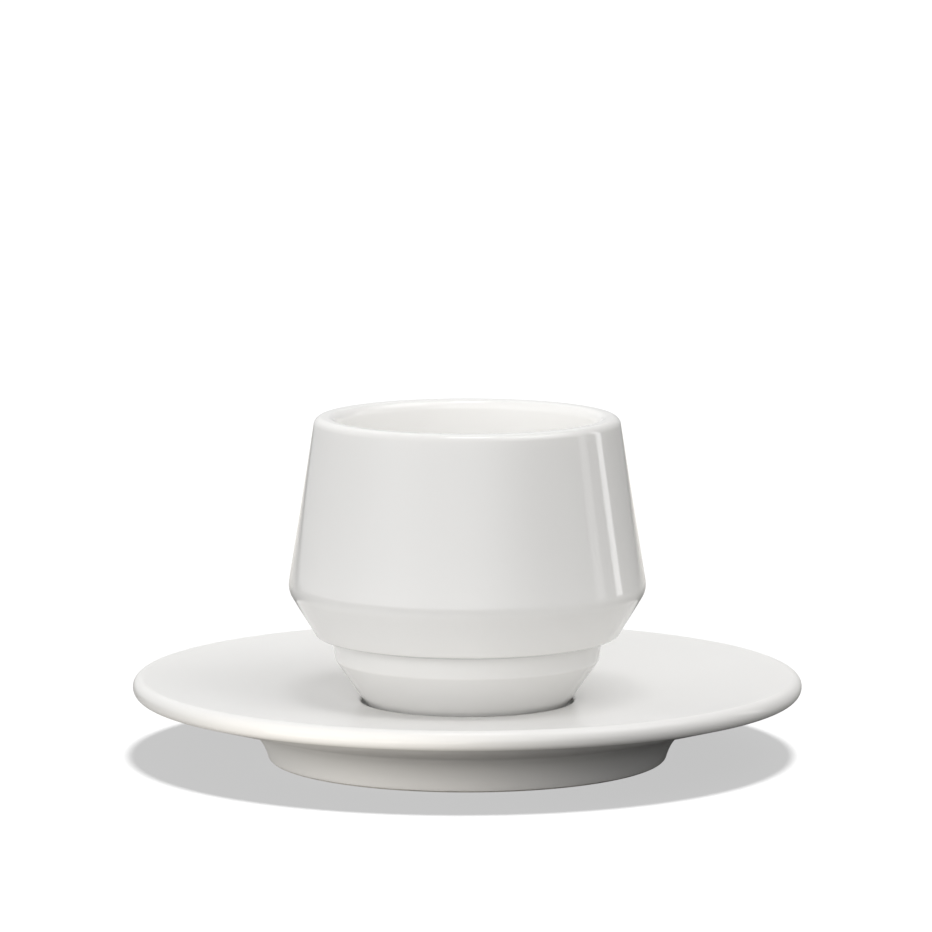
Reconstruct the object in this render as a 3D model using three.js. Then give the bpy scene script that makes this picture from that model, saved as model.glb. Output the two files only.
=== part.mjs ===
// Espresso cup and saucer in thick white porcelain.
// The cup has no handle. Its wall leans in from a belly crease up to a rounded lip, and below the belly
// it steps in to a collar and a tapered foot. The saucer is a shallow cone with a well for that foot, a
// rounded rim and a flared foot ring of its own.
// Millimetres and degrees, +Z up. The origin lies on the common axis, in the plane of the table.

import * as THREE from 'three';

// Cup: heights are measured from the underside of its foot, leans from the vertical.
const cupHeight = 53.15;
const cupFootRadius = 17.15;
const cupFootTaper = 35;
const cupFootHeight = 9.4;
const collarHeight = 4.25;
const collarLean = 8;
const ledgeWidth = 2.75;
const bellyHeight = 8.5;
const bellyFlare = 31;
const wallLean = 9.05;
const lipThickness = 4.06;
const lipRounding = 1.6;
const creaseRounding = 4;
const ledgeEdgeRounding = 1;
const ledgeCornerRounding = 0.7;
const collarEdgeRounding = 1.1;
const cupFootEdgeRounding = 0.8;

// Inside and underneath the cup.
const cupFloorThickness = 5;
const bowlFloorRadius = 1.5;
const cupFootRingWidth = 3;
const cupRecessDepth = 1.2;
const cupRecessRounding = 0.9;

// Saucer: heights are measured from the table.
const saucerRadius = 60;
const plateSlope = 6.5;
const plateThicknessAtFoot = 6.85;
const rimThickness = 3.3;
const rimRounding = 1.75;
const wellDepth = 2;
const wellClearance = 0.5;
const wellEdgeRounding = 0.7;
const wellCornerRounding = 0.8;
const wellFloorThickness = 4.2;

// Foot of the saucer.
const footRadius = 35.65;
const footHeight = 5.8;
const footLean = 17.5;
const footFlareRounding = 8.8;
const footRingWidth = 4;
const footEdgeRounding = 0.8;
const footInnerLean = 12;
const footRecessRounding = 3;

// Facets: sides of each turned body, and the largest turn of one step along a rounding.
const facetCount = 60;
const roundingStep = 20;

const porcelain = new THREE.MeshStandardMaterial({ color: 0xf1f0ed, roughness: 0.12, metalness: 0 });

const slope = (degrees) => Math.tan(THREE.MathUtils.degToRad(degrees));

// A corner of an outline: its distance from the axis, its height, and the radius that rounds it.
function corner(radius, height, rounding = 0) {
  return { point: new THREE.Vector2(radius, height), rounding };
}

// The points of an outline whose corners are rounded by arcs. Two roundings that would meet on an edge
// shrink together until they share it.
function roundedOutline(corners) {
  const points = corners.map((one) => one.point);
  const edges = points.slice(1).map((point, i) => point.clone().sub(points[i]));
  const lengths = edges.map((edge) => edge.length());
  const directions = edges.map((edge) => edge.clone().normalize());
  const turns = points.map((point, i) => {
    const before = directions[i - 1];
    const after = directions[i];
    return before && after ? Math.atan2(before.cross(after), before.dot(after)) : 0;
  });
  const reaches = corners.map((one, i) => one.rounding * Math.tan(Math.abs(turns[i]) / 2));

  const outline = [];
  corners.forEach((one, i) => {
    if (reaches[i] === 0) {
      outline.push(one.point);
      return;
    }
    const shareBefore = lengths[i - 1] / (reaches[i - 1] + reaches[i]);
    const shareAfter = lengths[i] / (reaches[i] + reaches[i + 1]);
    const share = Math.min(1, shareBefore, shareAfter);
    const start = one.point.clone().addScaledVector(directions[i - 1], -reaches[i] * share);
    const inward = new THREE.Vector2(-directions[i - 1].y, directions[i - 1].x);
    const centre = start.clone().addScaledVector(inward, Math.sign(turns[i]) * one.rounding * share);
    const steps = Math.ceil(Math.abs(turns[i]) / THREE.MathUtils.degToRad(roundingStep));
    for (let step = 0; step <= steps; step += 1) {
      outline.push(start.clone().rotateAround(centre, (turns[i] * step) / steps));
    }
  });
  return outline;
}

// A body turned on the vertical axis from an outline that runs from the axis, round the outside, back to it.
function turnedBody(name, corners) {
  const geometry = new THREE.LatheGeometry(roundedOutline(corners), facetCount);
  geometry.rotateX(Math.PI / 2);
  const body = new THREE.Mesh(geometry, porcelain);
  body.name = name;
  return body;
}

// Cup, from the recess under its foot, up the outside, over the lip and down into the bowl.
function makeCup() {
  const collarBaseRadius = cupFootRadius + cupFootHeight * slope(cupFootTaper);
  const ledgeHeight = cupFootHeight + collarHeight;
  const collarTopRadius = collarBaseRadius + collarHeight * slope(collarLean);
  const ledgeRadius = collarTopRadius + ledgeWidth;
  const creaseHeight = ledgeHeight + bellyHeight;
  const creaseRadius = ledgeRadius + bellyHeight * slope(bellyFlare);
  const lipRadius = creaseRadius - (cupHeight - creaseHeight) * slope(wallLean);

  // The inner face of the wall runs parallel to the outer one, down to the level of the bowl's floor.
  const mouthRadius = lipRadius - lipThickness;
  const bowlRadius = mouthRadius + (cupHeight - cupFloorThickness) * slope(wallLean);
  const bowlRounding = (bowlRadius - bowlFloorRadius) / slope((90 + wallLean) / 2);

  const ringInnerRadius = cupFootRadius - cupFootRingWidth;
  return turnedBody('cup', [
    corner(0, cupRecessDepth),
    corner(ringInnerRadius - cupRecessDepth, cupRecessDepth, cupRecessRounding),
    corner(ringInnerRadius, 0),
    corner(cupFootRadius, 0, cupFootEdgeRounding),
    corner(collarBaseRadius, cupFootHeight, collarEdgeRounding),
    corner(collarTopRadius, ledgeHeight, ledgeCornerRounding),
    corner(ledgeRadius, ledgeHeight, ledgeEdgeRounding),
    corner(creaseRadius, creaseHeight, creaseRounding),
    corner(lipRadius, cupHeight, lipRounding),
    corner(mouthRadius, cupHeight, lipRounding),
    corner(bowlRadius, cupFloorThickness, bowlRounding),
    corner(0, cupFloorThickness),
  ]);
}

// Heights of the saucer that follow from its foot: the plate rests on the foot, and the well is sunk in it.
// The well clears the cup's tapered foot at the height of the well's edge.
const wellRadius = cupFootRadius + wellDepth * slope(cupFootTaper) + wellClearance;
const footTopRadius = footRadius + footHeight * slope(footLean);
const wellEdgeHeight = footHeight + plateThicknessAtFoot - (footTopRadius - wellRadius) * slope(plateSlope);
const seatHeight = wellEdgeHeight - wellDepth;

// Saucer, from the recess inside its foot, round the foot and the rim, and over the plate into the well.
function makeSaucer() {
  const rimTopHeight = wellEdgeHeight + (saucerRadius - wellRadius) * slope(plateSlope);
  const rimBottomHeight = rimTopHeight - rimThickness;

  // Under the well the recess is level, and from there its ceiling runs parallel to the upper face.
  const recessHeight = seatHeight - wellFloorThickness;
  const ringInnerRadius = footRadius - footRingWidth;
  const recessRise = slope(plateSlope);
  const innerLean = slope(footInnerLean);
  const recessLevelAtRing = recessHeight + (ringInnerRadius - wellRadius) * recessRise;
  const recessCornerHeight = recessLevelAtRing / (1 + innerLean * recessRise);
  const recessCornerRadius = ringInnerRadius - recessCornerHeight * innerLean;

  return turnedBody('saucer', [
    corner(0, recessHeight),
    corner(wellRadius, recessHeight),
    corner(recessCornerRadius, recessCornerHeight, footRecessRounding),
    corner(ringInnerRadius, 0, footEdgeRounding),
    corner(footRadius, 0, footEdgeRounding),
    corner(footTopRadius, footHeight, footFlareRounding),
    corner(saucerRadius, rimBottomHeight, rimRounding),
    corner(saucerRadius, rimTopHeight, rimRounding),
    corner(wellRadius, wellEdgeHeight, wellEdgeRounding),
    corner(wellRadius, seatHeight, wellCornerRounding),
    corner(0, seatHeight),
  ]);
}

const espressoSet = new THREE.Group();
espressoSet.add(makeSaucer());

const cup = makeCup();
cup.position.z = seatHeight;
espressoSet.add(cup);

export default espressoSet;
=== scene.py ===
# %% [markdown]
# # An espresso cup on its saucer
# Two pieces of thick white porcelain, both turned about one upright axis: a cup without a handle, and a
# saucer with a well that the cup's foot stands in. The frame holds their plain solids, in metres, with the
# table at z = 0. This lesson turns finer bodies in the same places, glazes them, and lights them as for a
# product photograph on a white ground.

import math

import bmesh
import bpy
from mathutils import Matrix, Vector


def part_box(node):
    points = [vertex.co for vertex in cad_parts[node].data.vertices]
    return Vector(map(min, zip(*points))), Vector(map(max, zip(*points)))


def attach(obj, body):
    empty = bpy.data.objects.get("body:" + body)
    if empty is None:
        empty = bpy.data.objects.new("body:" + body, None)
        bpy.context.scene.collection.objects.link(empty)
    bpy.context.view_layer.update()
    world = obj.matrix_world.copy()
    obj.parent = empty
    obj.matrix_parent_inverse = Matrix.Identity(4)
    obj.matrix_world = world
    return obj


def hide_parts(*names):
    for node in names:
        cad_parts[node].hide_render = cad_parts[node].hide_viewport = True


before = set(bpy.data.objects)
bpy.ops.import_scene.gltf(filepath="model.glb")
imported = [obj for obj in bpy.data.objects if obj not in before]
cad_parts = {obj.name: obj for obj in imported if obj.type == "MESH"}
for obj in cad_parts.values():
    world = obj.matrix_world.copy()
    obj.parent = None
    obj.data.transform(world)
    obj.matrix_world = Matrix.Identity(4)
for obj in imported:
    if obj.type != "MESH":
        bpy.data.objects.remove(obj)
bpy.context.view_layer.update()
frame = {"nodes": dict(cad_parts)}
print("solids in the frame:", ", ".join(frame["nodes"]))

# %% [markdown]
# ## Drawing an outline
# A turned body is known from half of its cross-section, the outline that a potter's template has. Only its
# corners need to be written down: how far each one is from the axis, how high it is, and the radius that
# rounds it. The outline could be a curve, or a list of points worked out by hand. Here a few vertices and
# the spin operator draw it: a straight edge runs to each corner, and where the corner is rounded its last
# vertex is spun about the centre of the rounding, which gives a true arc.
#
# Liquid glaze gathers in hollows and runs thin over edges, and the hollows also lie in shade. So each arc
# also notes on its vertices how much glaze it holds, plus in a hollow and minus on an edge, and more the
# tighter it is. The same number later greys the hollows, which paints their shade along with the gathered
# glaze.

# %% Draw the corners and their roundings
MM = 0.001
ARC_STEP = math.radians(6)
TIGHT_ROUNDING = 1.0 * MM
SHADE_AND_GLAZE_DEPTH = "shade_and_glaze_depth"


def draw_outline(bm, corners):
    """Draw an outline in the XZ plane through corners of (radius, height, rounding) in millimetres."""
    shade_and_glaze_depth = bm.verts.layers.float.new(SHADE_AND_GLAZE_DEPTH)
    places = [Vector((radius, 0.0, height)) * MM for radius, height, rounding in corners]
    roundings = [rounding * MM for radius, height, rounding in corners]
    pen = bm.verts.new(places[0])
    for before, here, after, rounding in zip(places, places[1:], places[2:], roundings[1:]):
        heading = (here - before).normalized()
        leaving = (after - here).normalized()
        turn = heading.xz.angle_signed(leaving.xz)
        reach = rounding * math.tan(abs(turn) / 2)
        start = bm.verts.new(here - heading * reach)
        bm.edges.new((pen, start))
        pen = start
        if rounding == 0:
            continue
        hollow = math.copysign(1.0, turn)
        # Plus in a hollow: there the glaze colour paints shade, along with the grey of gathered glaze.
        start[shade_and_glaze_depth] = hollow * min(1.0, TIGHT_ROUNDING / rounding)
        to_the_right = Vector((heading.z, 0.0, -heading.x))
        arc = bmesh.ops.spin(
            bm,
            geom=[start],
            cent=start.co + to_the_right * hollow * rounding,
            axis=(0, 1, 0),
            angle=turn,
            steps=math.ceil(abs(turn) / ARC_STEP),
        )
        pen = arc["geom_last"][0]
    bm.edges.new((pen, bm.verts.new(places[-1])))


# %% [markdown]
# The straight stretches are cut into short edges before the outline is turned. Smooth shading blends the
# directions of neighbouring faces, and on one long face next to a narrow arc that blend would bend the
# reflections over the whole wall. The same short edges let the noted depth, of glaze and of painted shade in
# hollows, fade away from each corner, by a few rounds of averaging each vertex with its neighbours.

# %% Cut the straight stretches and spread the glaze
STRAIGHT_STEP = 1.5 * MM
GLAZE_SPREAD_ROUNDS = 3


def cut_straights(bm):
    """Cut long edges of an outline into short ones that hold no extra glaze or painted shade of their own."""
    shade_and_glaze_depth = bm.verts.layers.float[SHADE_AND_GLAZE_DEPTH]
    for edge in bm.edges[:]:
        cuts = int(edge.calc_length() / STRAIGHT_STEP)
        if cuts == 0:
            continue
        made = bmesh.ops.subdivide_edges(bm, edges=[edge], cuts=cuts)
        for vert in made["geom_inner"]:
            if isinstance(vert, bmesh.types.BMVert):
                vert[shade_and_glaze_depth] = 0.0


def spread_glaze(bm):
    """Let the depth of glaze and painted shade at each vertex of an outline run out over its neighbours."""
    shade_and_glaze_depth = bm.verts.layers.float[SHADE_AND_GLAZE_DEPTH]
    for _ in range(GLAZE_SPREAD_ROUNDS):
        depths = {}
        for vert in bm.verts:
            around = [edge.other_vert(vert)[shade_and_glaze_depth] for edge in vert.link_edges]
            depths[vert] = (vert[shade_and_glaze_depth] + sum(around)) / (1 + len(around))
        for vert, depth in depths.items():
            vert[shade_and_glaze_depth] = depth


# %% [markdown]
# ## Turning a body
# One full spin about the upright axis makes the outline a body, as the wheel does. The spin leaves a pile of
# vertices where the outline meets the axis, so doubles are merged, which closes those poles, and then the
# normals are recalculated to point outwards. The finished piece rides on its body of the frame and takes the
# place of that body's plain solid.

# %% Turn an outline into a piece
SIDES = 192
MERGE_DISTANCE = 0.001 * MM


def spin_outline(corners, standing_height):
    """A closed body in a bmesh, turned from an outline and raised to the height that it stands at."""
    bm = bmesh.new()
    draw_outline(bm, corners)
    cut_straights(bm)
    spread_glaze(bm)
    bmesh.ops.spin(
        bm,
        geom=bm.verts[:] + bm.edges[:],
        cent=(0, 0, 0),
        axis=(0, 0, 1),
        angle=math.tau,
        steps=SIDES,
        use_merge=True,
    )
    bmesh.ops.remove_doubles(bm, verts=bm.verts[:], dist=MERGE_DISTANCE)
    bmesh.ops.recalc_face_normals(bm, faces=bm.faces[:])
    bmesh.ops.translate(bm, vec=(0, 0, standing_height), verts=bm.verts[:])
    for face in bm.faces:
        face.smooth = True
    return bm


def new_object(name, bm):
    """An object in the scene that takes over a bmesh."""
    mesh = bpy.data.meshes.new(name)
    bm.to_mesh(mesh)
    bm.free()
    made = bpy.data.objects.new(name, mesh)
    bpy.context.scene.collection.objects.link(made)
    return made


def turn_piece(name, node, corners, standing_height):
    """Turn an outline into a porcelain piece that stands for a node of the frame."""
    piece = new_object(name, spin_outline(corners, standing_height))
    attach(piece, node)
    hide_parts(node)
    piece.data.calc_loop_triangles()
    print(name, "has", len(piece.data.loop_triangles), "triangles")
    return piece


# %% [markdown]
# ## The cup
# From the foot up: a foot that tapers out, a low collar, a ledge where the belly steps out over the collar,
# a short flaring belly, a soft crease, and a wall that leans in to a rounded lip about 4 mm thick. A cup
# could also be lofted through rings, but each of these forms is one corner of an outline, so turning needs
# the fewest numbers. Its sizes, in millimetres and degrees, are the ones its solid has. The frame gives its
# height and the level that it stands on.

# %% The cup's outside
cup_low, cup_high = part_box("cup")
seat_height = cup_low[2]
cup_height = (cup_high[2] - cup_low[2]) / MM

foot_radius = 17.15
foot_height = 9.4
foot_lean = 35
collar_height = 4.25
collar_lean = 8
ledge_width = 2.75
belly_height = 8.5
belly_lean = 31
wall_lean = 9.05


def slope(degrees):
    """How far a line strays to one side for each millimetre along, when it leans by this angle."""
    return math.tan(math.radians(degrees))


collar_radius = foot_radius + foot_height * slope(foot_lean)
collar_top_radius = collar_radius + collar_height * slope(collar_lean)
ledge_height = foot_height + collar_height
ledge_radius = collar_top_radius + ledge_width
crease_height = ledge_height + belly_height
crease_radius = ledge_radius + belly_height * slope(belly_lean)
lip_radius = crease_radius - (cup_height - crease_height) * slope(wall_lean)
print("cup:", round(cup_height, 2), "mm tall, crease", round(2 * crease_radius, 2), "mm across")

# %% [markdown]
# Inside, the wall runs parallel to the outer one. Its last corner has a rounding so large that hardly any
# level floor is left, which makes the bowl egg-shaped. Underneath, the foot is hollowed a little, so that
# the cup stands on a ring and doesn't rock.

# %% The cup's bowl and foot ring
lip_thickness = 4.06
bowl_floor_height = 5
bowl_floor_radius = 1.5
cup_ring_width = 3
cup_recess_depth = 1.2

mouth_radius = lip_radius - lip_thickness
bowl_radius = mouth_radius + (cup_height - bowl_floor_height) * slope(wall_lean)
bowl_rounding = (bowl_radius - bowl_floor_radius) / slope((90 + wall_lean) / 2)
cup_ring_inner_radius = foot_radius - cup_ring_width
cup_recess_radius = cup_ring_inner_radius - cup_recess_depth
print("mouth:", round(2 * mouth_radius, 2), "mm across")

# %% Turn the cup
cup_recess_rounding = 0.9
cup_ring_inner_rounding = 0.3
foot_edge_rounding = 0.8
collar_edge_rounding = 1.1
ledge_corner_rounding = 0.7
ledge_edge_rounding = 1.0
crease_rounding = 4.0
lip_rounding = 1.6

cup = turn_piece(
    "espresso_cup",
    "cup",
    [
        (0, cup_recess_depth, 0),
        (cup_recess_radius, cup_recess_depth, cup_recess_rounding),
        (cup_ring_inner_radius, 0, cup_ring_inner_rounding),
        (foot_radius, 0, foot_edge_rounding),
        (collar_radius, foot_height, collar_edge_rounding),
        (collar_top_radius, ledge_height, ledge_corner_rounding),
        (ledge_radius, ledge_height, ledge_edge_rounding),
        (crease_radius, crease_height, crease_rounding),
        (lip_radius, cup_height, lip_rounding),
        (mouth_radius, cup_height, lip_rounding),
        (bowl_radius, bowl_floor_height, bowl_rounding),
        (0, bowl_floor_height, 0),
    ],
    seat_height,
)

# %% [markdown]
# ## The saucer
# A shallow cone of a plate with a rounded rim, and in its middle a well 2 mm deep that keeps the cup from
# sliding. The well is half a millimetre wider than the cup's foot where the foot passes its edge, and its
# floor is the level that the frame gave for the cup. It is turned as the cup was, so that both have the same
# facets where they meet.

# %% The saucer's upper face
saucer_low, saucer_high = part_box("saucer")
saucer_radius = saucer_high[0] / MM

well_depth = 2
well_clearance = 0.5
plate_slope = slope(6.5)
rim_thickness = 3.3

well_floor_height = seat_height / MM
well_edge_height = well_floor_height + well_depth
well_radius = foot_radius + well_depth * slope(foot_lean) + well_clearance
rim_top_height = well_edge_height + (saucer_radius - well_radius) * plate_slope
print("saucer:", round(2 * saucer_radius, 2), "mm across, well", round(2 * well_radius, 2), "mm across")

# %% [markdown]
# Underneath, the plate stands on a flared foot ring. The recess inside the ring is level below the well, and
# from there its ceiling runs parallel to the plate, so that the wall has one thickness and fires evenly. The
# corner where that ceiling meets the ring's inner side is where the two lines cross.

# %% The saucer's underside
ring_radius = 35.65
ring_width = 4
ring_height = 5.8
ring_flare = slope(17.5)
ring_inner_slope = slope(12)
well_floor_thickness = 4.2

ring_top_radius = ring_radius + ring_height * ring_flare
ring_inner_radius = ring_radius - ring_width
recess_height = well_floor_height - well_floor_thickness
ceiling_height_at_ring = recess_height + (ring_inner_radius - well_radius) * plate_slope
recess_corner_height = ceiling_height_at_ring / (1 + ring_inner_slope * plate_slope)
recess_corner_radius = ring_inner_radius - recess_corner_height * ring_inner_slope
print("foot ring:", round(2 * ring_radius, 2), "mm across")

# %% Turn the saucer
recess_edge_rounding = 6.0
recess_corner_rounding = 3.0
ring_edge_rounding = 0.8
ring_flare_rounding = 8.8
rim_rounding = 1.75
well_edge_rounding = 0.7
well_corner_rounding = 0.8

saucer = turn_piece(
    "espresso_saucer",
    "saucer",
    [
        (0, recess_height, 0),
        (well_radius, recess_height, recess_edge_rounding),
        (recess_corner_radius, recess_corner_height, recess_corner_rounding),
        (ring_inner_radius, 0, ring_edge_rounding),
        (ring_radius, 0, ring_edge_rounding),
        (ring_top_radius, ring_height, ring_flare_rounding),
        (saucer_radius, rim_top_height - rim_thickness, rim_rounding),
        (saucer_radius, rim_top_height, rim_rounding),
        (well_radius, well_edge_height, well_edge_rounding),
        (well_radius, well_floor_height, well_corner_rounding),
        (0, well_floor_height, 0),
    ],
    0.0,
)

# %% [markdown]
# ## Wiring a shader
# A material is a graph of nodes, and its sums are easier to read as sums. The first class wraps a socket, so
# that 1 - mask or 0.5 * noise adds the Math node it needs. The second makes every other node from its type,
# its settings and what goes into its sockets, and joins the wires.

# %% Signals
class Signal:
    """A socket that can stand in a sum with numbers and other signals."""

    def __init__(self, board, socket):
        self.board = board
        self.socket = socket

    def combine(self, operation, first, second):
        return self.board.node("ShaderNodeMath", {"operation": operation}, {0: first, 1: second})

    def __add__(self, other):
        return self.combine("ADD", self, other)

    def __radd__(self, other):
        return self.combine("ADD", other, self)

    def __sub__(self, other):
        return self.combine("SUBTRACT", self, other)

    def __rsub__(self, other):
        return self.combine("SUBTRACT", other, self)

    def __mul__(self, other):
        return self.combine("MULTIPLY", self, other)

    def __rmul__(self, other):
        return self.combine("MULTIPLY", other, self)

    def __pow__(self, other):
        return self.combine("POWER", self, other)

    def at_least(self, lowest):
        return self.combine("MAXIMUM", self, lowest)


# %% The board that signals run on
class Board:
    """A node tree that nodes are added to one by one."""

    def __init__(self, tree):
        self.tree = tree
        tree.nodes.clear()

    def node(self, kind, settings=None, sockets=None, output=0):
        made = self.tree.nodes.new(kind)
        for setting, value in (settings or {}).items():
            setattr(made, setting, value)
        for key, value in (sockets or {}).items():
            if isinstance(value, Signal):
                self.tree.links.new(value.socket, made.inputs[key])
            else:
                made.inputs[key].default_value = value
        return Signal(self, made.outputs[output]) if made.outputs else made

    def mix_colours(self, factor, first, second):
        settings = {"data_type": "RGBA"}
        return self.node("ShaderNodeMix", settings, {0: factor, 6: first, 7: second}, output=2)

    def noise(self, size, detail=2.0):
        """Soft noise on the object's own coordinates, with features of about this size."""
        place = self.node("ShaderNodeTexCoord", output="Object")
        return self.node("ShaderNodeTexNoise", {}, {"Vector": place, "Scale": 1 / size, "Detail": detail})


def new_material(name):
    material = bpy.data.materials.new(name)
    material.use_nodes = True
    return material, Board(material.node_tree)


# %% [markdown]
# ## White glaze
# Fired glaze is a thin layer of clear glass over a white body. Its colour is nearly flat, so what makes it
# look real is small: a slow drift of tone from the firing, a little more depth where the glaze gathered in
# a hollow, and a little less on an edge. A picture of real glaze could be wrapped round the piece, but noise
# on Object coordinates has no seam, and the depth noted above already knows where the hollows are. The grey
# in the hollows is painted shade as well as gathered glaze. Its third power keeps that grey to the tightest
# corners.

# %% Colour of the glaze
GLAZE_WHITE = (0.87, 0.865, 0.852, 1.0)
GLAZE_WARM = (0.85, 0.84, 0.82, 1.0)
# Grey of painted shade in creases and hollows, together with gathered glaze.
GATHERED_GLAZE_AND_SHADE = (0.60, 0.61, 0.60, 1.0)
GLAZE_THIN = (0.89, 0.88, 0.86, 1.0)
DRIFT_SIZE = 35 * MM
DRIFT_SHARE = 0.6
GATHERED_AND_SHADE_SHARE = 0.9
THIN_SHARE = 0.8


def glaze_colour(board):
    """White that drifts in tone, greyer in hollows with painted shade and gathered glaze, and lighter on
    edges.
    """
    depth = board.node("ShaderNodeAttribute", {"attribute_name": SHADE_AND_GLAZE_DEPTH}, output="Fac")
    # Painted shade in the creases and hollows, with the grey of gathered glaze.
    gathered_glaze_and_shade = GATHERED_AND_SHADE_SHARE * depth.at_least(0) ** 3
    thin = THIN_SHARE * (0 - depth).at_least(0)
    colour = board.mix_colours(DRIFT_SHARE * board.noise(DRIFT_SIZE), GLAZE_WHITE, GLAZE_WARM)
    colour = board.mix_colours(gathered_glaze_and_shade, colour, GATHERED_GLAZE_AND_SHADE)
    return board.mix_colours(thin, colour, GLAZE_THIN)


# %% [markdown]
# The surface of the glass isn't quite flat, and its gloss varies a trace. Both come from noise: a bump of a
# few thousandths of a millimetre, which makes reflections waver, and a roughness that drifts about its mean.
#
# The cup keeps its bright gloss. The saucer's is duller, because cups are set down and turned on it. One
# higher roughness would blur all its highlights. Fine scuffs only weaken them, so the saucer mixes the bright
# glaze with a share that has no gloss at all.

# %% Two glazes
RIPPLE_SIZE = 9 * MM
FINE_RIPPLE_SIZE = 1.6 * MM
FINE_RIPPLE_SHARE = 0.05
GLOSS_DRIFT_SIZE = 14 * MM
GLASS_IOR = 1.5


def make_glaze(name, roughness, ripple_height, scuffed):
    """Glaze of a mean roughness, with ripples, and a scuffed share that has no gloss."""
    material, board = new_material(name)
    colour = glaze_colour(board)
    waves = board.noise(RIPPLE_SIZE) + FINE_RIPPLE_SHARE * board.noise(FINE_RIPPLE_SIZE)
    ripple = board.node("ShaderNodeBump", {}, {"Strength": 1.0, "Distance": ripple_height, "Height": waves})
    shader = board.node(
        "ShaderNodeBsdfPrincipled",
        {},
        {
            "Base Color": colour,
            "Roughness": roughness * (0.75 + 0.5 * board.noise(GLOSS_DRIFT_SIZE)),
            "IOR": GLASS_IOR,
            "Normal": ripple,
        },
    )
    if scuffed > 0:
        matt = board.node(
            "ShaderNodeBsdfPrincipled",
            {},
            {"Base Color": colour, "Roughness": 1.0, "Specular IOR Level": 0.0, "Normal": ripple},
        )
        shader = board.node("ShaderNodeMixShader", {}, {0: scuffed, 1: shader, 2: matt})
    board.node("ShaderNodeOutputMaterial", {}, {"Surface": shader})
    print(name, "has", len(board.tree.nodes), "nodes")
    return material


bright_glaze = make_glaze("bright_glaze", roughness=0.08, ripple_height=0.010 * MM, scuffed=0.0)
scuffed_glaze = make_glaze("scuffed_glaze", roughness=0.12, ripple_height=0.003 * MM, scuffed=0.45)

# %% [markdown]
# ## Bare foot rings
# A piece stands on its foot ring in the kiln, and glaze there would fuse it to the shelf. So the ring is
# wiped bare, and shows the matt, slightly creamy body with a fine grain and grey scuffs from use. The scuffs
# are the peaks of a coarse noise, and where they are the ring is also polished a little.

# %% Bare porcelain
BARE_BODY = (0.72, 0.69, 0.63, 1.0)
BARE_SCUFFED = (0.50, 0.48, 0.45, 1.0)
SCUFF_SIZE = 2.5 * MM
SCUFF_LEVEL = 0.52
GRAIN_SIZE = 0.25 * MM
GRAIN_HEIGHT = 0.03 * MM


def make_bare_body():
    """Unglazed porcelain with grain and scuffs."""
    material, board = new_material("bare_porcelain")
    scuffs = board.noise(SCUFF_SIZE, detail=6.0)
    grain = board.noise(GRAIN_SIZE, detail=3.0)
    worn = 5 * (scuffs - SCUFF_LEVEL).at_least(0) + 0.1 * grain
    bump = board.node("ShaderNodeBump", {}, {"Strength": 0.6, "Distance": GRAIN_HEIGHT, "Height": grain})
    shader = board.node(
        "ShaderNodeBsdfPrincipled",
        {},
        {
            "Base Color": board.mix_colours(worn, BARE_BODY, BARE_SCUFFED),
            "Roughness": 0.9 - 0.3 * worn,
            "Normal": bump,
        },
    )
    board.node("ShaderNodeOutputMaterial", {}, {"Surface": shader})
    print(material.name, "has", len(board.tree.nodes), "nodes")
    return material


bare_porcelain = make_bare_body()

# %% [markdown]
# ## Glazing the pieces
# Each piece has its glaze in the first material slot and the bare body in the second. The bare faces could be
# masked inside one shader, but the wiped edge of a glaze is sharp and runs round the ring, along the edges of
# the mesh. So it is enough to give the second slot to the faces that lie lowest.

# %% Put the finishes on
BARE_HEIGHT = 0.3 * MM


def finish_piece(piece, glaze, standing_height):
    """Glaze a piece all over, and leave bare the faces that touch what it stands on."""
    piece.data.materials.append(glaze)
    piece.data.materials.append(bare_porcelain)
    faces = piece.data.polygons
    bare = [face for face in faces if face.center.z - standing_height < BARE_HEIGHT]
    for face in bare:
        face.material_index = 1
    print(piece.name, "is bare on", len(bare), "of", len(faces), "faces")


finish_piece(cup, bright_glaze, seat_height)
finish_piece(saucer, scuffed_glaze, 0.0)

# %% [markdown]
# ## Camera
# The photograph was taken from a little above the lip with a long lens, so all its ellipses are flat and much
# alike. A camera could be placed by eye. Here it follows from a few readings: the elevation and distance that
# give the rim and the lip their ellipses, the height at the middle of the picture, and how many pixels a
# millimetre takes there, which gives the lens. A small shift puts the axis in its column without turning the
# camera. The Standard view keeps white paper white.

# %% Camera
PHOTO_WIDTH = 932
AXIS_COLUMN = 467.3
PIXELS_PER_MM = 5.592
SENSOR_WIDTH = 36
view_distance = 1.1
view_elevation = math.radians(7.61)
aim = Vector((0.0, 0.0, 52.71 * MM))

camera_data = bpy.data.cameras.new("photo_camera")
camera = bpy.data.objects.new("photo_camera", camera_data)
bpy.context.scene.collection.objects.link(camera)
towards_camera = Vector((0.0, -math.cos(view_elevation), math.sin(view_elevation)))
camera.location = aim + towards_camera * view_distance
camera.rotation_euler = towards_camera.to_track_quat("Z", "Y").to_euler()
camera_data.sensor_width = SENSOR_WIDTH
camera_data.lens = SENSOR_WIDTH * PIXELS_PER_MM / MM * view_distance / PHOTO_WIDTH
camera_data.shift_x = (PHOTO_WIDTH / 2 - AXIS_COLUMN) / PHOTO_WIDTH
camera_data.clip_end = 100
bpy.context.scene.camera = camera
bpy.context.scene.view_settings.view_transform = "Standard"
print("lens", round(camera_data.lens, 1), "mm")

# %% [markdown]
# ## The white ground
# The photograph has a pure white ground with one flat grey shadow on it. White paper burns out like that when
# it gets much more light than the object. One sheet would then throw too much light back at the porcelain, so
# two flat sheets share the work, and neither is part of the object. The one that only the camera sees glows
# at the grey of the shadow and has a key light of its own, so it is white wherever that key reaches it. Both
# are too large to be sampled as lamps, which would leave flecks, so that is switched off.

# %% The sheet that the camera sees
WHITE = (1.0, 1.0, 1.0, 1.0)
SHADOW_GREY = 0.545


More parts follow.
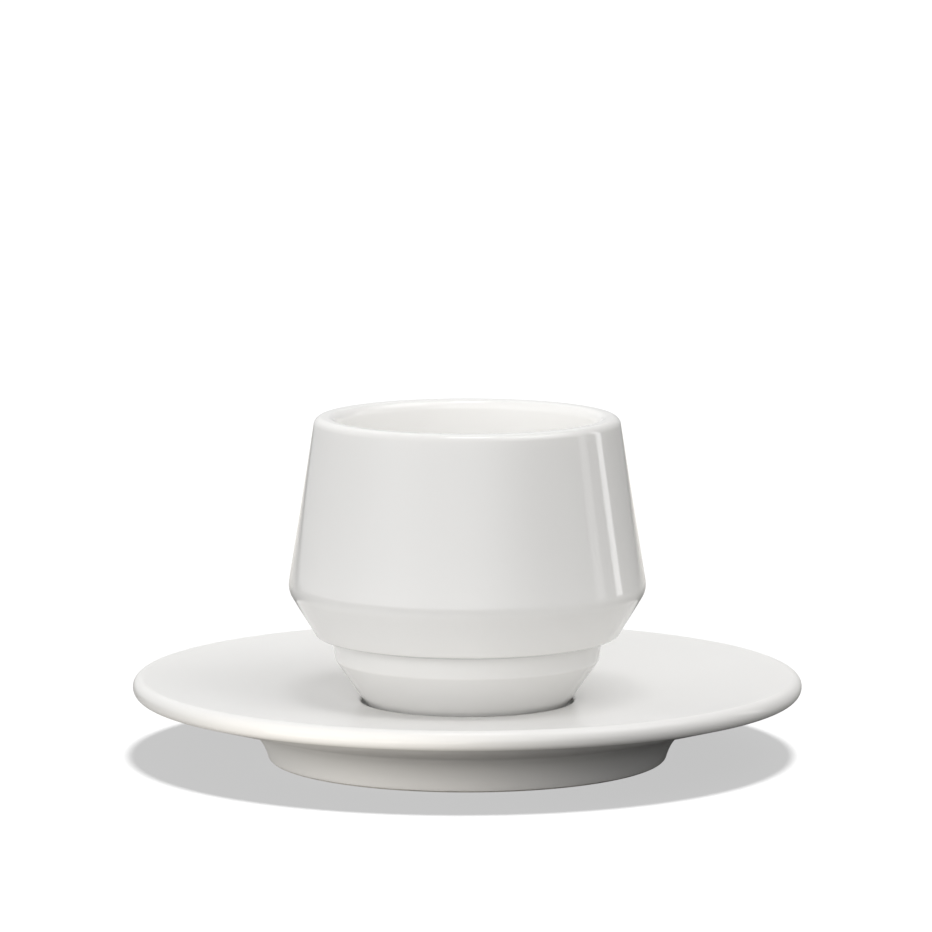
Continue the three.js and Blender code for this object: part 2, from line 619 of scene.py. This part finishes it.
def lay_sheet(name, radius, depth):
    """A round flat sheet at a depth below the table, and the board of its material."""
    bm = bmesh.new()
    bmesh.ops.create_circle(bm, cap_ends=True, segments=96, radius=radius)
    bmesh.ops.translate(bm, vec=(0, 0, -depth), verts=bm.verts[:])
    sheet = new_object(name, bm)
    material, board = new_material(name)
    material.cycles.emission_sampling = "NONE"
    sheet.data.materials.append(material)
    print(name, "reaches", radius, "m out")
    return sheet, board


def glow_and_paper(board, colour, glow, paper):
    """A sheet that gives light of its own, and scatters a share of what falls on it."""
    emission = board.node("ShaderNodeEmission", {}, {"Color": colour, "Strength": glow})
    scatter = board.node("ShaderNodeBsdfDiffuse", {}, {"Color": (paper, paper, paper, 1.0)})
    both = board.node("ShaderNodeAddShader", {}, {0: emission, 1: scatter})
    board.node("ShaderNodeOutputMaterial", {}, {"Surface": both})


ground_seen, seen_board = lay_sheet("ground_seen", radius=12.0, depth=0.0)
glow_and_paper(seen_board, WHITE, glow=SHADOW_GREY, paper=0.05)
ground_seen.visible_diffuse = False
ground_seen.visible_glossy = False
ground_seen.visible_shadow = False

# %% [markdown]
# The other sheet only lights the porcelain, and the camera doesn't see it. It glows with what a white ground
# throws back, in round patches: some from the paper just left of the saucer, more from in front and from the
# right, and most from behind. It lies a hair lower than the sheet that is seen, so as not to shade it, and it
# ends 0.7 m out, so that the glaze mirrors the soft lights beyond it.

# %% The sheet that the porcelain feels
BLACK = (0.0, 0.0, 0.0, 1.0)
WARM_GROUND = (1.0, 0.97, 0.91, 1.0)
BRIGHTEST_PATCH = 1.4
FELT_PATCHES = {
    "left": (-0.07, 0.0, 0.07, 0.32),
    "right": (0.35, 0.0, 0.30, 0.68),
    "far front": (0.0, -0.40, 0.32, 0.5),
    "far back": (0.0, 0.40, 0.30, 1.0),
}


def paint_felt(board, patches):
    """Round patches of (x, y, radius, share of the brightest glow) that fade out towards their edge."""
    place = board.node("ShaderNodeTexCoord", output="Object")
    distance = {"operation": "DISTANCE"}
    glow = 0.0
    for x, y, radius, share in patches.values():
        away = board.node("ShaderNodeVectorMath", distance, {0: place, 1: (x, y, 0.0)}, output="Value")
        glow = glow + share * (1 - away * (1 / radius)).at_least(0)
    colour = board.mix_colours(glow, BLACK, WARM_GROUND)
    glow_and_paper(board, colour, glow=BRIGHTEST_PATCH, paper=0.12)


ground_felt, felt_board = lay_sheet("ground_felt", radius=0.7, depth=0.2 * MM)
paint_felt(felt_board, FELT_PATCHES)
ground_felt.visible_camera = False

# %% [markdown]
# ## Soft light all round
# Large soft lights would show their edges as shapes in the glaze, and the photograph shows none on most of
# the cup. So the soft light is painted on the world as smooth lobes: each is brightest in one direction and
# fades with the cosine of the angle from it, raised to a power that says how tight it is. Azimuth 0 is the
# camera's side and 90 the right-hand side.

# %% Soft lights
SOFT_LIGHTS = {
    "front": (3, 13, 6.0, 1.80),
    "front left": (311, 5, 6.5, 1.85),
    "left": (265, 10, 6.0, 0.70),
    "back left": (211, 27, 2.2, 0.77),
    "back": (180, 10, 4.0, 0.24),
    "high back": (180, 50, 6.0, 0.27),
    "high right": (84, 59, 14.0, 3.1),
}


def towards(azimuth, elevation):
    """Direction from the object, for an azimuth and an elevation in degrees."""
    a = math.radians(azimuth)
    e = math.radians(elevation)
    return Vector((math.cos(e) * math.sin(a), -math.cos(e) * math.cos(a), math.sin(e)))


def light_world(board, soft_lights):
    """Paint lobes of (azimuth, elevation, tightness, strength) on the world."""
    ray = board.node("ShaderNodeTexCoord", output="Generated")
    dot = {"operation": "DOT_PRODUCT"}
    glow = 0.0
    for azimuth, elevation, tightness, strength in soft_lights.values():
        middle = tuple(towards(azimuth, elevation))
        facing = board.node("ShaderNodeVectorMath", dot, {0: ray, 1: middle}, output="Value")
        glow = glow + strength * facing.at_least(0) ** tightness
    background = board.node("ShaderNodeBackground", {}, {"Color": WHITE, "Strength": glow})
    board.node("ShaderNodeOutputWorld", {}, {"Surface": background})


world = bpy.data.worlds.new("studio")
world.use_nodes = True
bpy.context.scene.world = world
light_world(Board(world.node_tree), SOFT_LIGHTS)
print("soft lights:", ", ".join(SOFT_LIGHTS))

# %% [markdown]
# ## Keys
# The key that whitens the ground comes from above the camera and a little from the right, which sets the
# shadow as far back and to the left as in the photograph. It would burn out the porcelain, so light linking
# keeps it on the ground: a lamp with a receiver collection lights nothing else. The porcelain has a weak key
# of its own from straight above. Both are suns, because a sun's shadow has the same softness everywhere.

# %% Keys
UP = Vector((0.0, 0.0, 1.0))


def lit_alone(name, *objects):
    """A collection that a lamp can be linked to, so that it lights nothing else."""
    receivers = bpy.data.collections.new(name)
    for obj in objects:
        receivers.objects.link(obj)
    return receivers


def hang_lamp(name, kind, direction, place, receivers):
    """A lamp that shines from a place against a direction, on the receivers alone."""
    lamp = bpy.data.objects.new(name, bpy.data.lights.new(name, kind))
    lamp.location = place
    lamp.rotation_euler = direction.to_track_quat("Z", "Y").to_euler()
    lamp.light_linking.receiver_collection = receivers
    bpy.context.scene.collection.objects.link(lamp)
    print("lamp:", name)
    return lamp


def hang_sun(name, direction, width, strength, receivers):
    """A sun whose disc is some degrees wide."""
    sun = hang_lamp(name, "SUN", direction, UP, receivers)
    sun.data.angle = math.radians(width)
    sun.data.energy = strength


ground_only = lit_alone("ground_only", ground_seen)
porcelain_only = lit_alone("porcelain_only", cup, saucer)
hang_sun("ground_key", Vector((0.09, -0.26, 1.0)), width=10, strength=32.0, receivers=ground_only)
hang_sun("top_key", UP, width=20, strength=0.42, receivers=porcelain_only)

# %% [markdown]
# ## Strip lights
# The bright stripes down the right of the wall are reflections of two upright strip lights, which stand to
# the right of the object and a little behind it. Stripes could be painted on the cup, but then they would
# stay in place when it is seen from another side. The azimuth of a strip sets where its stripe lies, and its
# width how wide the stripe is. The power of a rectangle of light follows from its radiance and its area.

# %% Strip lights
STRIP_DISTANCE = 0.8
STRIP_MIDDLE = 0.2
STRIP_HEIGHT = 0.5


def shape_rectangle(lamp, width, height, radiance):
    """Make an area lamp a rectangle of an even radiance."""
    lamp.data.shape = "RECTANGLE"
    lamp.data.size = width
    lamp.data.size_y = height
    lamp.data.energy = radiance * math.pi * width * height


def stand_strip(name, azimuth, width, radiance):
    """An upright strip light at the side."""
    side = towards(azimuth, 0)
    place = side * STRIP_DISTANCE + UP * STRIP_MIDDLE
    strip = hang_lamp(name, "AREA", side, place, porcelain_only)
    shape_rectangle(strip, width, STRIP_HEIGHT, radiance)


stand_strip("narrow_strip", azimuth=113.0, width=0.098, radiance=2.8)
stand_strip("wide_strip", azimuth=93.7, width=0.115, radiance=0.9)

# %% [markdown]
# ## Two small fills
# The left of the saucer's foot is lit although the rim shades it, as by a white card that lies low in front.
# So a low rectangle of warm light stands there, which lights the saucer alone.
#
# In the photograph the inside of the mouth is nearly as bright as the ground, and the soft lights alone leave
# it greyer. More light from above would burn out the plate, so a small lamp inside the mouth makes up for it.
# It lights the cup alone, isn't mirrored in the glaze, and is the cup's child, so that it moves with the cup.

# %% Foot card and mouth fill
CARD_DISTANCE = 0.085
CARD_MIDDLE = 3 * MM
DEPTH_BELOW_LIP = 9 * MM

card_side = towards(-25, 0)
card_place = card_side * CARD_DISTANCE + UP * CARD_MIDDLE
foot_card = hang_lamp("foot_card", "AREA", card_side, card_place, lit_alone("saucer_only", saucer))
shape_rectangle(foot_card, width=0.08, height=4 * MM, radiance=8.5)
foot_card.data.color = (1.0, 0.94, 0.85)

below_lip = UP * (cup_high[2] - DEPTH_BELOW_LIP)
mouth_fill = hang_lamp("mouth_fill", "POINT", UP, below_lip, lit_alone("cup_only", cup))
mouth_fill.data.shadow_soft_size = 8 * MM
mouth_fill.data.energy = 0.0043
mouth_fill.visible_glossy = False
mouth_fill.parent = cup
